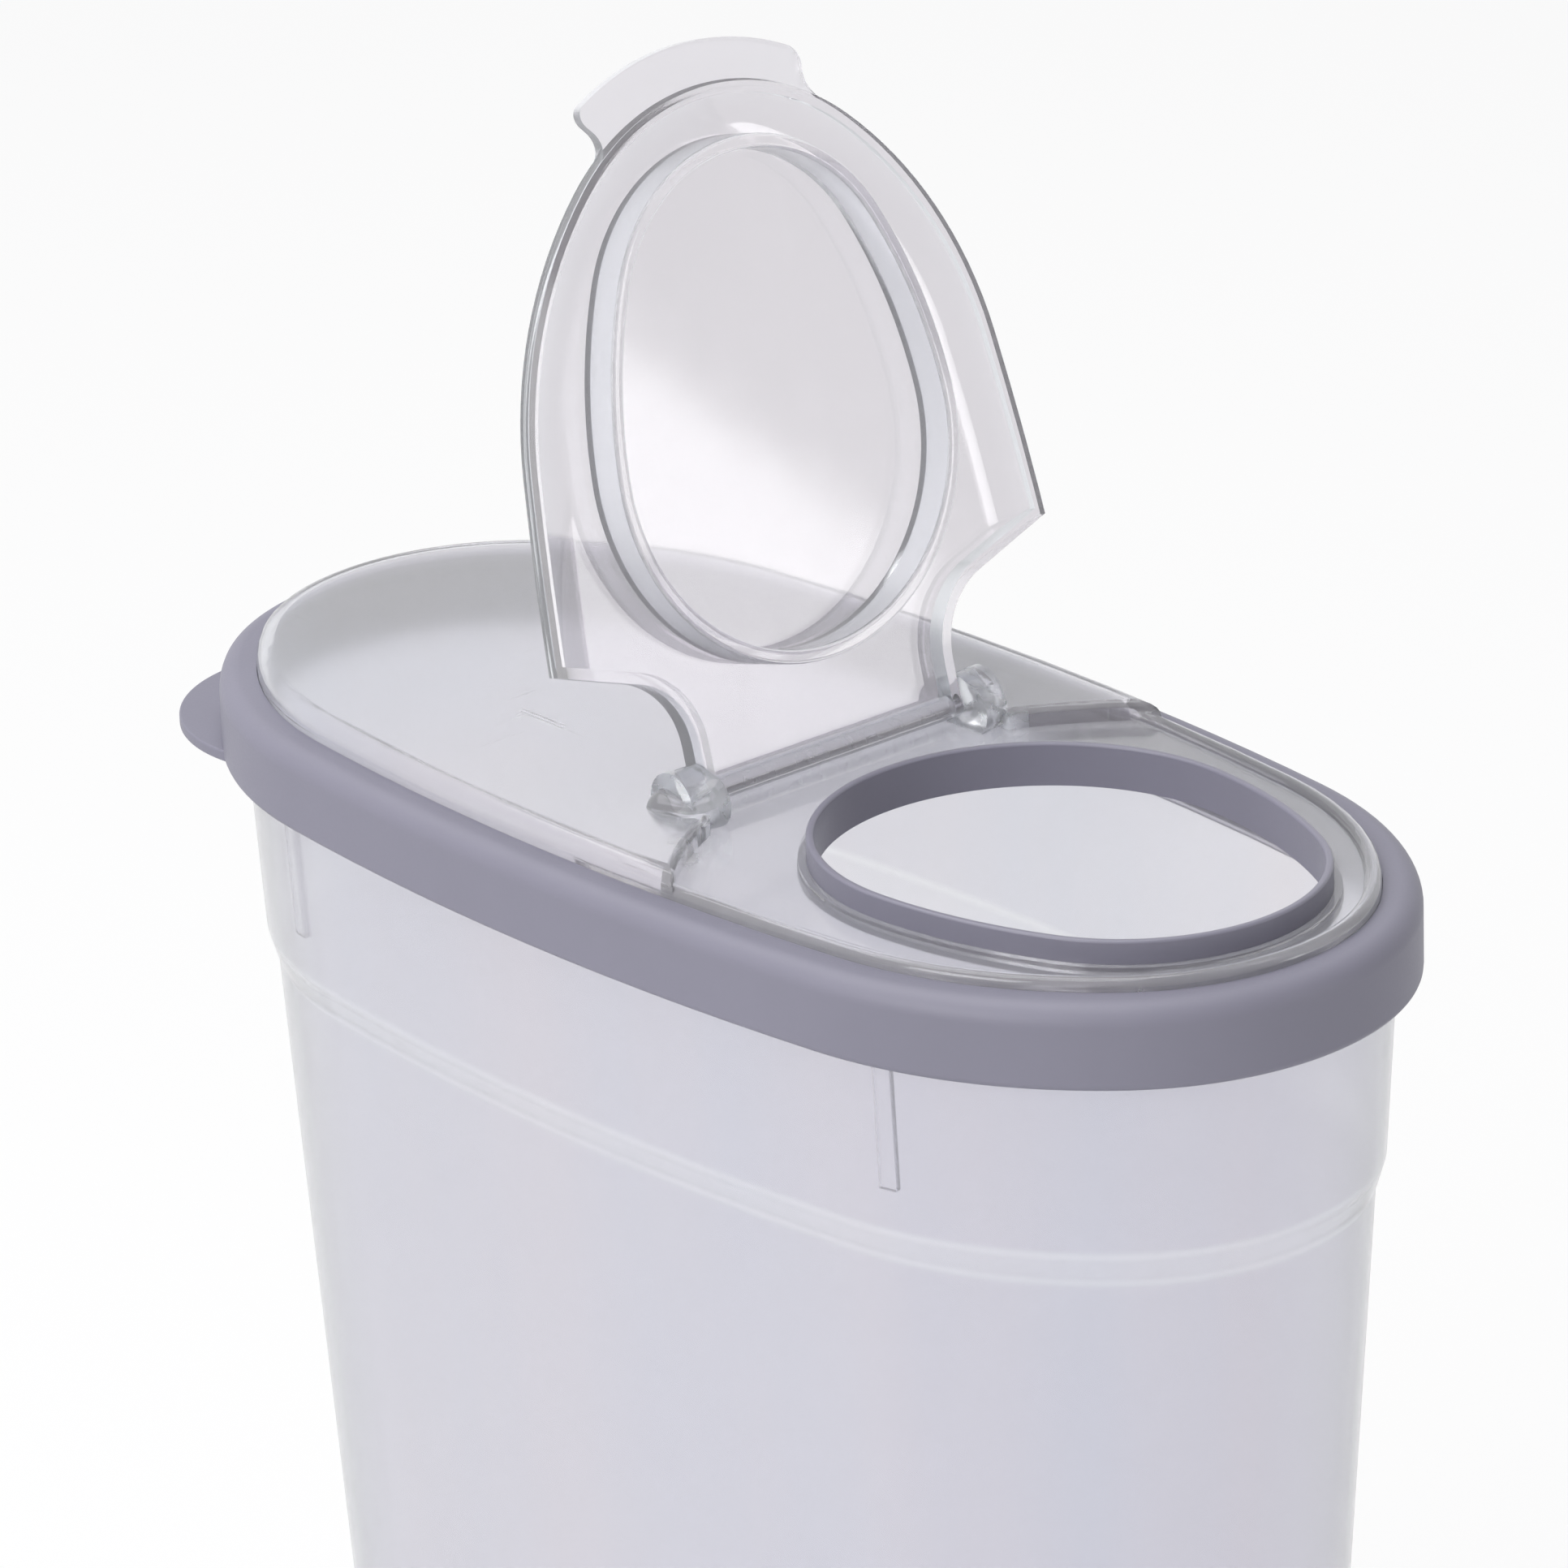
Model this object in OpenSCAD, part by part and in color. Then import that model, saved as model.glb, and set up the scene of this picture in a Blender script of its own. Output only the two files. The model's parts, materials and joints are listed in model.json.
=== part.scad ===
// Dry-food tub with a press-on lid, a grey pouring collar and a hinged flip cap.
// Frame: x towards the pouring end, y across, z up, origin at the centre of the base.

/* [Outline] */
// Length of the lid panel over its bead
panel_l = 190; // [175:1:210]
// Width of the lid panel over its bead
panel_w = 87.4; // [85:0.2:92]
// Radius of the two ends of the oval
end_r = 34; // [30:0.5:36]
// Radius of the four corners between end and side
corner_r = 55; // [52:0.5:58]
// Half the angle that each end arc spans
end_a = 42.3; // [38:0.5:46]

/* [Tub] */
// Height of the lid panel's datum plane above the base
lid_z = 216; // [150:1:260]
// Wall of the tub
tub_wall = 1.3; // [1:0.1:2]
// Floor of the tub
tub_floor = 2; // [1.5:0.1:3]
// Draft of the walls
draft = 3.85; // [2:0.05:4.5]
// Height of the wider band below the lid's datum
band_h = 37; // [30:0.5:50]
// Step from the band in to the body
band_step = 1.4; // [0.8:0.1:2.5]
// Height of the sloping ledge under the band
ledge_h = 4.5; // [2:0.5:8]
// Radius where the wall meets the base
base_r = 5; // [3:0.5:8]
// Distance of the nesting ribs from the middle
rib_x = 60; // [40:1:65]
// Width of a nesting rib
rib_w = 2.6; // [1.5:0.1:4]
// Height of a nesting rib
rib_h = 22; // [12:1:25]

/* [Lid panel] */
// Thickness of the deck, plateau and skirt walls
panel_t = 1.3; // [1:0.1:1.8]
// Height of the deck above the datum
deck_z = 0.2; // [0:0.1:0.6]
// Width of the bead round the deck
bead_w = 2.3; // [1.6:0.1:3]
// Height of the bead above the datum
bead_z = 1.2; // [0.8:0.1:1.6]
// Height of the rear plateau above the datum
plateau_z = 3; // [2.4:0.1:3.2]
// Radius of the plateau's shoulder
shoulder_r = 2.4; // [1.5:0.1:2.6]
// Radius of the plateau's front edge
front_edge_r = 1; // [0.5:0.1:1.3]
// How far the plateau's wings reach past the hinge axis at the outline
wing_reach = 17.8; // [15:0.2:18.4]
// How far they reach past the hinge axis beside the hinge
bay_reach = 6.1; // [5:0.1:7]
// Radius of the plateau's front wall in plan
wing_r = 60; // [45:1:90]
// Depth of the inner wall that plugs the tub
plug_h = 8; // [5:0.5:12]
// Depth of the panel's skirt below the datum
skirt_h = 12.4; // [11:0.1:14]

/* [Grey rim] */
// Width of the rim beyond the bead
rim_w = 5.3; // [4.8:0.1:6]
// Radius of the rim's top edge
rim_top_r = 3; // [2:0.1:3.5]
// Depth of the rim below the datum
rim_h = 12; // [11:0.1:13.5]
// Radius of the pull tab
tab_r = 22.6; // [19:0.2:24]
// Thickness of the pull tab
tab_t = 1.6; // [1.2:0.1:2.4]
// Height of the pull tab above the rim's lower edge
tab_z = 0.9; // [0.3:0.1:2]
// Distance of the pull tab's centre from the panel's rear end
tab_in_x = 15; // [13:0.5:17]
// Distance of the pull tab's centre from the panel's side
tab_in_y = 29.7; // [27:0.1:31]

/* [Spout] */
// Distance of the collar's front from the panel's end
front_gap = 5.5; // [5:0.1:6.5]
// Distance between the centres of the collar's front and rear arcs
egg_l = 16.3; // [15.5:0.1:17.5]
// Radius of the collar's rear arc
rear_r = 30.5; // [29:0.1:31]
// Radius of the collar's front arc
front_r = 26.4; // [25:0.1:26.8]
// Radius of the collar's sides
flank_r = 70; // [60:1:90]
// Wall of the collar
collar_t = 1.1; // [0.9:0.1:1.6]
// Height of the collar above the datum
collar_z = 3.9; // [3.4:0.1:4.2]
// Depth of the collar below the datum
collar_h = 2.1; // [1.8:0.1:4]
// Width of the collar's hidden flange under the deck
flange_w = 1.2; // [0.8:0.1:2]
// Width of the raised lip that the deck has round the collar
lip_w = 1.1; // [0.6:0.1:2]
// Height of that lip above the deck
lip_h = 0.5; // [0.3:0.1:0.8]

/* [Flip cap] */
// Thickness of the cap
cap_t = 1.3; // [1:0.1:1.6]
// Angle at which the cap stands open
open_a = 105; // [95:1:108]
// Width of the sloping shoulder round the cap
cap_slope_w = 8; // [5:0.5:9]
// Drop of that shoulder
cap_drop = 2.1; // [1.5:0.1:2.6]
// How far the wing's rear edge lies past the hinge axis at the outline
cap_wing_reach = 20.9; // [20.2:0.1:22.5]
// Lean of the wing's rear edge from the y axis
cap_wing_a = 18.4; // [12:0.2:24]
// Radius between wing and hinge tongue
cap_neck_r = 11; // [7:0.5:12]
// Depth of the sealing ring
ring_h = 5.9; // [4:0.1:7]
// Wall of the sealing ring
ring_t = 1.9; // [1.4:0.1:2.4]
// Half the width of the thumb tab
thumb_w = 19.5; // [14:0.5:22]
// Reach of the thumb tab beyond the bead
thumb_l = 5.6; // [4:0.1:7]
// Upward slope of the thumb tab
thumb_a = 28; // [15:1:35]
// Radius of the thumb tab's corners
thumb_corner_r = 2; // [1:0.2:2.6]
// Radius at the thumb tab's neck
thumb_neck_r = 3; // [2:0.2:5]

/* [Hinge] */
// Distance of the hinge axis behind the collar
hinge_reach = 10.9; // [10.2:0.1:11.8]
// Drop of the hinge barrel's top below the cap's top
hinge_drop = 0.6; // [0:0.1:0.8]
// Half the width of the hinge tongue
tongue_w = 22.2; // [20:0.2:24]
// Radius of the hinge pins
pin_r = 1.5; // [1.2:0.05:1.6]
// Length of a hinge pin
pin_l = 3.6; // [2.5:0.1:4]
// Radius of the bosses that end the tongue's side flanges
boss_r = 2.3; // [2:0.1:2.5]
// Wall round a hinge socket
socket_wall = 2.6; // [2:0.1:2.8]
// Width of the slot through which a pin is pressed into its socket
slot_w = 2.4; // [2:0.1:2.6]
// Direction of that slot, from the pouring end upwards
slot_a = 115; // [95:1:125]

/* [Fits] */
// Gap between pieces that move on each other
run_gap = 0.3; // [0.25:0.05:0.5]
// Gap between pieces fixed in one another
seat_gap = 0.05; // [0.03:0.01:0.1]
// Gap between a hinge pin and its socket
pin_gap = 0.07; // [0.05:0.01:0.1]
// Gap between the sealing ring and the collar
ring_gap = 0.5; // [0.45:0.05:0.7]

/* [Hidden] */
$fn = 96;
// Overlap of shapes that are joined
e = 0.01;

// The oval: two ends, four corners and two sides, tangent to each other.
end_x = panel_l / 2 - end_r;
corner_x = end_x - (corner_r - end_r) * cos(end_a);
corner_y = (corner_r - end_r) * sin(end_a);
side_a = 90 - 2 * atan((panel_w / 2 - corner_r + corner_y) / corner_x);
side_y = corner_y + corner_x * tan(side_a);
side_r = corner_r + corner_x / cos(side_a);

// The spout and the hinge follow the panel's front end.
front_x = panel_l / 2 - front_gap - front_r;
rear_x = front_x - egg_l;
hinge_x = rear_x - rear_r - hinge_reach;
wing_x = hinge_x + wing_reach;
bay_x = hinge_x + bay_reach;
cap_wing_x = hinge_x + cap_wing_reach;

// Offsets from the bead, from the outside in.
rim_t = 1.7;
skirt_t = 0.85;
rim_in = rim_w - rim_t;
rim_top_z = -0.5;
skirt_in = rim_in - seat_gap - skirt_t;
tub_rim = skirt_in - run_gap;
plug_out = tub_rim - tub_wall - run_gap;
plug_in = plug_out - panel_t;
ceiling_z = -2.8;
shelf_z = -1.65;
tub_top = lid_z + ceiling_z - run_gap;

// The cap in its closed place, above the datum.
cap_in_z = collar_z + run_gap;
cap_top_z = cap_in_z + cap_t;
cap_off = -0.2;
cap_rim_z = bead_z + run_gap + 0.1;
cap_wall = cap_t + 0.2;
barrel_r = pin_r + 0.15;
hinge_z = cap_top_z - hinge_drop - barrel_r;
socket_r = pin_r + pin_gap + socket_wall;
bay_w = tongue_w + run_gap + pin_l + pin_gap;
cheek_r = 2.6;
cheek_reach = 2.4;
hinge_edge = hinge_x - boss_r - run_gap;

function on_corner(a, o) = [corner_x + (corner_r + o) * cos(a), (corner_r + o) * sin(a) - corner_y];

// Centre of the circle of radius r that passes from p to q with its centre on the right.
function arc_centre(p, q, r) =
    let (m = (p + q) / 2, d = (q - p) / norm(q - p), h = sqrt(r * r - pow(norm(q - p) / 2, 2)))
    m + h * [-d.y, d.x];

// Turns a profile, x outwards from radius r and y up, through part of a circle.
module arc_sweep(c, r, a, sweep) {
    translate([c.x, c.y, 0])
    rotate(a)
    rotate_extrude(angle = sweep)
    translate([r, 0])
    children();
}

// The oval's arcs: centre x and y, radius, first and last angle, steps.
ARCS = [[end_x, 0, end_r, -end_a, end_a, 17],
        [corner_x, -corner_y, corner_r, end_a, side_a, 8],
        [0, -side_y, side_r, side_a, 180 - side_a, 8],
        [-corner_x, -corner_y, corner_r, 180 - side_a, 180 - end_a, 8],
        [-end_x, 0, end_r, 180 - end_a, 180 + end_a, 17],
        [-corner_x, corner_y, corner_r, 180 + end_a, 180 + side_a, 8],
        [0, side_y, side_r, 180 + side_a, 360 - side_a, 8],
        [corner_x, corner_y, corner_r, 360 - side_a, 360 - end_a, 8]];

function oval_points(o) = [for (c = ARCS) for (i = [0 : c[5] - 1])
    let (a = c[3] + (c[4] - c[3]) * i / c[5])
    [c[0] + (c[2] + o) * cos(a), c[1] + (c[2] + o) * sin(a)]];

// Points along an arc in a profile.
function arc_points(c, r, a0, a1, steps) = [for (i = [0 : steps])
    let (a = a0 + (a1 - a0) * i / steps) [c.x + r * cos(a), c.y + r * sin(a)]];

// Sweeps an edge profile round the oval: x is the offset outwards from the bead, y the height.
// The profile runs with the solid on its left. An open one is capped flat at both ends.
module oval_loft(profile, open = true) {
    n = len(oval_points(0));
    m = len(profile);
    faces = [for (j = [0 : open ? m - 2 : m - 1]) for (i = [0 : n - 1])
        let (a = j * n, b = ((j + 1) % m) * n, k = (i + 1) % n)
        [a + i, b + i, b + k, a + k]];
    caps = open ? [[for (i = [0 : n - 1]) i], [for (i = [0 : n - 1]) m * n - 1 - i]] : [];
    polyhedron([for (q = profile) for (v = oval_points(q.x)) [v.x, v.y, q.y]], concat(faces, caps));
}

// A flat oval plate at an offset from the bead.
module plate(o, z0, z1) {
    oval_loft([[o, z0], [o, z1]]);
}

// The egg-shaped spout outline: front arc, two flanks and rear arc.
flank_dx = (pow(flank_r - rear_r, 2) - pow(flank_r - front_r, 2) + pow(front_x - rear_x, 2))
    / (2 * (front_x - rear_x));
flank_x = rear_x + flank_dx;
flank_y = sqrt(pow(flank_r - rear_r, 2) - pow(flank_dx, 2));
front_a = atan2(flank_y, front_x - flank_x);
rear_a = atan2(flank_y, -flank_dx);

module egg_sweep() {
    arc_sweep([front_x, 0], front_r, -front_a, 2 * front_a) children();
    arc_sweep([rear_x, 0], rear_r, rear_a, 360 - 2 * rear_a) children();
    for (s = [0, 1]) mirror([0, s, 0])
        arc_sweep([flank_x, -flank_y], flank_r, front_a, rear_a - front_a) children();
}

function on_egg(c, r, a, s) = [c + r * cos(a), s * r * sin(a)];

// A filled egg at an offset from the collar's outside.
module egg(o, z0, z1) {
    fill = front_r / 2;
    translate([front_x, 0, z0]) cylinder(r = front_r + o, h = z1 - z0);
    translate([rear_x, 0, z0]) cylinder(r = rear_r + o, h = z1 - z0);
    for (s = [0, 1]) mirror([0, s, 0])
        arc_sweep([flank_x, -flank_y], flank_r, front_a, rear_a - front_a)
        translate([-fill, z0])
        square([fill + o, z1 - z0]);
    translate([0, 0, z0])
    linear_extrude(z1 - z0)
    polygon([on_egg(front_x, front_r + o, front_a, 1), on_egg(rear_x, rear_r + o, rear_a, 1),
             on_egg(rear_x, rear_r + o, rear_a, -1), on_egg(front_x, front_r + o, front_a, -1)]);
}

// Centre of the pull tab.
tab_x = tab_in_x - panel_l / 2;
tab_y = tab_in_y - panel_w / 2;

// Offsets of the tub's outside.
slope = tan(draft);
band_z = lid_z - band_h;
ledge_z = band_z - ledge_h;
band_lo = tub_rim - (tub_top - band_z) * slope * 0.9;
body_hi = band_lo - band_step;
body_lo = body_hi - (ledge_z - base_r) * slope;

// Up the outside of the tub, over its rim and down the inside.
function tub_profile() = let (t = tub_wall, r = base_r - t, low = body_lo - t) concat(
    arc_points([body_lo - base_r, base_r], base_r, -90, 0, 4),
    [[body_hi, ledge_z], [body_hi + 0.4, ledge_z + 1.2], [band_lo - 0.3, band_z - 1], [band_lo, band_z],
     [tub_rim, tub_top - 0.4], [tub_rim - 0.4, tub_top], [tub_rim + 0.4 - t, tub_top],
     [tub_rim - t, tub_top - 0.4], [band_lo - t, band_z], [band_lo - 0.3 - t, band_z - 1],
     [body_hi + 0.4 - t, ledge_z + 1.2], [body_hi - t, ledge_z]],
    arc_points([low - r, tub_floor + r], r, 0, -90, 3));

// A nesting rib stands square to the wall inside the band and leans with it.
module nesting_rib(sx, sy) {
    a = acos((rib_x - corner_x) / corner_r);
    lean = atan((tub_rim - band_lo) / (tub_top - band_z));
    p = on_corner(a, tub_rim - tub_wall / 2);
    mirror([sx, 0, 0]) mirror([0, sy, 0])
    translate([p.x, p.y, tub_top])
    rotate(a)
    rotate([0, lean, 0])
    translate([-tub_wall / 2 - 1, -rib_w / 2, -rib_h - 6])
    cube([tub_wall / 2 + 1, rib_w, rib_h]);
}

module tub() {
    color([0.86, 0.85, 0.89, 0.6])
    union() {
        oval_loft(tub_profile());
        for (sx = [0, 1], sy = [0, 1]) nesting_rib(sx, sy);
    }
}

// The plateau's front line in plan, moved back by i.
module plateau_plan(i) {
    p = [wing_x, panel_w / 2 - 1];
    q = [bay_x, bay_w];
    c = arc_centre(p, q, wing_r);
    difference() {
        translate([-panel_l, -panel_w]) square([panel_l + p.x + 2, 2 * panel_w]);
        for (s = [1, -1]) translate([c.x, s * c.y]) circle(r = wing_r + i, $fn = 180);
        translate([hinge_edge - i, -bay_w - i]) square([panel_l, 2 * (bay_w + i)]);
    }
}

// The rear plateau's outside, or its hollow when moved in by i.
module plateau_block(i, z0) {
    r = shoulder_r - i * 0.8;
    intersection() {
        oval_loft(concat([[-i, z0]],
            arc_points([-i - r, plateau_z - i - r], r, 0, 90, i > 0 ? 3 : 5)));
        translate([0, 0, z0 - 1]) linear_extrude(10) plateau_plan(i);
    }
}

// Rounds the plateau's front edge along the hinge and both wings.
module front_edge_cut() {
    r = front_edge_r;
    p = [wing_x, panel_w / 2 - 1];
    q = [bay_x, bay_w];
    c = arc_centre(p, q, wing_r);
    a0 = atan2(q.y - c.y, q.x - c.x);
    a1 = atan2(p.y + 2 - c.y, p.x + 2 - c.x);
    for (s = [0, 1]) mirror([0, s, 0])
        translate([c.x, c.y, plateau_z])
        rotate(a1)
        rotate_extrude(angle = a0 - a1, $fn = 180)
        translate([wing_r, 0])
        difference() {
            translate([-e, -r]) square([r + e, r + e]);
            translate([r, -r]) circle(r = r, $fn = 32);
        }
    translate([hinge_edge, bay_w, plateau_z])
    rotate([90, 0, 0])
    linear_extrude(2 * bay_w)
    difference() {
        translate([-r, -r]) square([r + e, r + e]);
        translate([-r, -r]) circle(r = r, $fn = 32);
    }
}

// From the deck's underside round the plug, groove, skirt and bead to the deck's top.
function panel_profile() = let (out = rim_in - seat_gap, r = bead_w / 2) concat(
    [[plug_in, deck_z - panel_t], [plug_in, -plug_h], [plug_out, -plug_h], [plug_out, ceiling_z],
     [skirt_in, ceiling_z], [skirt_in, -skirt_h], [out, -skirt_h]],
    arc_points([out - 1, shelf_z - 1], 1, 0, 90, 3),
    [[0, shelf_z]],
    arc_points([-r, bead_z - r], r, 0, 180, 6),
    [[-bead_w, deck_z]]);

// Around the panel's outside, inside the grey rim.
function rim_profile() = let (t = rim_w, g = seat_gap, rt = rim_top_r, out = rim_in) concat(
    [[out, -rim_h], [t - 1, -rim_h]],
    arc_points([t - 1, 1 - rim_h], 1, -60, 0, 2),
    arc_points([t - rt, rim_top_z - rt], rt, 0, 90, 6),
    [[g, rim_top_z], [g, shelf_z + g]],
    arc_points([out - 1, shelf_z + g - 1], 1, 90, 0, 3));

// A hinge cheek: a smooth hump on the deck that holds one pin in a slotted bore.
module socket(s) {
    w = pin_l + pin_gap + panel_t;
    mirror([0, s, 0])
    translate([hinge_x, tongue_w + run_gap, hinge_z])
    difference() {
        union() {
            rotate([-90, 0, 0]) cylinder(r = socket_r, h = w);
            cheek(w);
        }
        translate([0, -1, 0]) rotate([-90, 0, 0]) cylinder(r = pin_r + pin_gap, h = 1 + pin_l + pin_gap);
        translate([0, -1, 0])
            rotate([0, -slot_a, 0])
            translate([0, 0, -slot_w / 2])
            cube([2 * socket_r, 1 + pin_l + pin_gap, slot_w]);
    }
}

// The hump falls away towards the wing and the deck.
module cheek(w) {
    foot = hinge_z - deck_z - cheek_r + panel_t / 2;
    hull() {
        rotate([-90, 0, 0]) cylinder(r = socket_r - 0.2, h = 1, $fn = 28);
        translate([cheek_reach, 0, -0.2]) rotate([-90, 0, 0]) cylinder(r = socket_r - 0.4, h = 1, $fn = 28);
        translate([cheek_reach, w - cheek_r / 2, -foot]) sphere(r = cheek_r, $fn = 20);
        translate([-cheek_reach / 2, w, -foot]) sphere(r = cheek_r, $fn = 20);
    }
}

module lid_panel() {
    color([0.88, 0.88, 0.93, 0.6])
    translate([0, 0, lid_z])
    union() {
        difference() {
            union() {
                oval_loft(panel_profile());
                plateau_block(0, deck_z - e);
                egg_sweep() translate([0, deck_z - e]) square([lip_w, lip_h + e]);
            }
            plateau_block(panel_t, deck_z - panel_t - 1);
            front_edge_cut();
            egg(seat_gap, deck_z - 5, deck_z + 5);
        }
        for (s = [0, 1]) socket(s);
    }
}

module lid_rim() {
    color([0.58, 0.57, 0.61])
    translate([0, 0, lid_z])
    union() {
        oval_loft(rim_profile(), open = false);
        pull_tab();
    }
}

// A disc under the rim that shows as a crescent at one rear corner.
module pull_tab() {
    difference() {
        translate([tab_x, tab_y, tab_z - rim_h]) cylinder(r = tab_r, h = tab_t);
        plate(rim_in + rim_t / 3, -rim_h - 1, 0);
    }
}

module spout_collar() {
    color([0.58, 0.57, 0.61])
    translate([0, 0, lid_z])
    egg_sweep() union() {
        translate([-collar_t, -collar_h]) square([collar_t, collar_z + collar_h]);
        translate([-collar_t, -collar_h])
            square([collar_t + flange_w, collar_h + deck_z - panel_t - seat_gap]);
    }
}

// The cap's plan, moved in by i behind the wings and along the tongue.
module cap_plan(i) {
    k = tan(cap_wing_a);
    w = tongue_w - i;
    x0 = cap_wing_x - (panel_w / 2 - 1.4 - w) * k + i / cos(cap_wing_a);
    r = cap_neck_r + i;
    l = r * tan((90 - cap_wing_a) / 2);
    far = panel_w;
    q = arc_points([x0 - l, w + r], r, -90, -cap_wing_a, 12);
    half = concat([[hinge_x, w]], q, [[x0 + (far - w) * k, far], [panel_l, far]]);
    polygon(concat(half, [for (j = [len(half) - 1 : -1 : 0]) [half[j].x, -half[j].y]]));
}

// The cap's rounded top edge, moved in by i, from the height z0 up.
function cap_profile(i, z0) =
    let (r = (pow(cap_slope_w, 2) + pow(cap_drop, 2)) / (2 * cap_drop),
         o = cap_off - (i > 0 ? cap_wall : 0),
         c = [cap_off - cap_slope_w, cap_top_z - r],
         a = acos((o - c.x) / (r - i)))
    concat([[o, z0]], arc_points(c, r - i, a, 90, 5));

module cap_block(i, z0) {
    intersection() {
        oval_loft(cap_profile(i, z0));
        translate([0, 0, z0 - 1]) linear_extrude(12) cap_plan(i > 0 ? cap_wall : 0);
    }
}

// The thumb tab's plan: a sector with rounded corners and hollow fillets at its neck.
module thumb_plan() {
    a = asin(thumb_w / (end_r + thumb_l));
    tip = end_r + thumb_l;
    root = end_r + cap_off;
    rc = thumb_corner_r;
    rf = thumb_neck_r;
    u = [cos(a), sin(a)];
    v = [-sin(a), cos(a)];
    corner = u * sqrt(pow(tip - rc, 2) - rc * rc) - v * rc;
    neck = u * sqrt(pow(root + rf, 2) - rf * rf) + v * rf;
    b = atan2(neck.y, neck.x);
    half = concat([[0, 0], (root - 1) * [cos(b), sin(b)]],
        arc_points(neck, rf, b - 180, a - 90, 6),
        arc_points(corner, rc, a + 90, atan2(corner.y, corner.x), 6),
        arc_points([0, 0], tip, atan2(corner.y, corner.x) - 1, 0, 10));
    polygon(concat(half, [for (j = [len(half) - 2 : -1 : 1]) [half[j].x, -half[j].y]]));
}

module thumb_tab() {
    rise = thumb_l * tan(thumb_a);
    low = cap_top_z - cap_drop - cap_t;
    translate([end_x, 0, 0])
    intersection() {
        rotate(-60)
        rotate_extrude(angle = 120)
        polygon([[end_r - 1, low - 0.6], [end_r + cap_off, low - 0.4], [end_r + thumb_l + 1, low + rise],
                 [end_r + thumb_l + 1, low + rise + cap_t], [end_r - 1, low + cap_t - 0.4]]);
        linear_extrude(20) thumb_plan();
    }
}

module closed_cap() {
    difference() {
        cap_block(0, cap_rim_z);
        cap_block(cap_t, cap_rim_z - 2);
    }
    egg_sweep()
        translate([-collar_t - ring_gap - ring_t, cap_in_z - ring_h])
        square([ring_t, ring_h + e]);
    thumb_tab();
    translate([hinge_x, tongue_w, hinge_z]) rotate([90, 0, 0]) cylinder(r = barrel_r, h = 2 * tongue_w);
    for (s = [0, 1]) mirror([0, s, 0])
        translate([hinge_x, tongue_w, hinge_z])
        rotate([90, 0, 0])
        cylinder(r = boss_r, h = cap_wall);
    translate([hinge_x, tongue_w + run_gap + pin_l, hinge_z])
        rotate([90, 0, 0])
        cylinder(r = pin_r, h = 2 * (tongue_w + run_gap + pin_l));
}

module flip_cap() {
    color([0.9, 0.9, 0.95, 0.6])
    translate([hinge_x, 0, lid_z + hinge_z])
    rotate([0, -open_a, 0])
    translate([-hinge_x, 0, -hinge_z])
    closed_cap();
}

tub();
lid_panel();
lid_rim();
spout_collar();
flip_cap();
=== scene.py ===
import json
import math

import bmesh
import bpy
from mathutils import Matrix, Vector

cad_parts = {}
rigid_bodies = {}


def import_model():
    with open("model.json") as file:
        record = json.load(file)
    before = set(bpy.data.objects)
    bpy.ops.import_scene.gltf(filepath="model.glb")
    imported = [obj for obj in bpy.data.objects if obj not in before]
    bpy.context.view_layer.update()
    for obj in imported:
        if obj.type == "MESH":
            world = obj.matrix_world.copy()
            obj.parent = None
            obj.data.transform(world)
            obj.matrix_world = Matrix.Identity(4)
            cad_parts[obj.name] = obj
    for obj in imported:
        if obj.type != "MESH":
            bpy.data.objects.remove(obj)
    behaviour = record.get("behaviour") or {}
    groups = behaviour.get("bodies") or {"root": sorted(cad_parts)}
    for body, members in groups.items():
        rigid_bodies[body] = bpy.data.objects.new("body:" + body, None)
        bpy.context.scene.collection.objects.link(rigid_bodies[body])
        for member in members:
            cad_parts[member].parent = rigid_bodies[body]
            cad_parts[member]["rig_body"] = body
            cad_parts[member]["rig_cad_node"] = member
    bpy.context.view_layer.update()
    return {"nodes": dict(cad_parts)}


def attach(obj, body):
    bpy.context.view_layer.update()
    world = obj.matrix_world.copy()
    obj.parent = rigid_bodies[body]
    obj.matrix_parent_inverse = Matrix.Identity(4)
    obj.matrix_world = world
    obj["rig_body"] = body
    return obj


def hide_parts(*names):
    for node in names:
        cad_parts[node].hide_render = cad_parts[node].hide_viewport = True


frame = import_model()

bl_info = {
    "name": "Flip-spout dry-food keeper",
    "version": (1, 0, 0),
    "blender": (4, 5, 0),
    "location": "View3D > Sidebar > Keeper",
    "description": "Models and dresses a slim oval food keeper with a press-on lid and a hinged flip cap",
    "category": "Add Mesh",
}

# Places in metres: the lid's datum, small edge rounds, the welding distance, the rim's gap to
# the panel's bead, and the deck's underside over the collar's flange
LID_HEIGHT = 0.216
SOFT_EDGE = 0.0004
WELD = 2e-6
SEAT_GAP = 0.00005
UNDER_DECK = LID_HEIGHT - 0.00115

# Nesting ribs: depth, width and height, how far their middle lies below the edge, and the
# share of x in the direction that the oval's wall faces near them
RIB_SIZE = (0.0016, 0.0026, 0.022)
RIB_DROP = 0.017
RIB_FACING = 0.18

# Rim: its top, the underside of its ledge, its small rounds, and where the pull tab starts in
# the skirt's wall
RIM_TOP = LID_HEIGHT - 0.0005
RIM_UNDER = LID_HEIGHT - 0.0016
RIM_SOFT = 0.001
TAB_ROOT = 0.0006

# Cap: how far inside the bead its edge lies and its wings are placed, its barrel and pins, and
# its sealing ring
CAP_INSET = 0.0002
WING_INSET = 0.0014
BARREL_RADIUS = 0.00165
PIN_RADIUS = 0.0015
PIN_REACH = 0.0039
RING_WALL = 0.0019
RING_GAP = 0.0005
RING_TOP = LID_HEIGHT + 0.0042
RING_DEPTH = 0.0059
RING_SOFT = 0.0005

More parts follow.
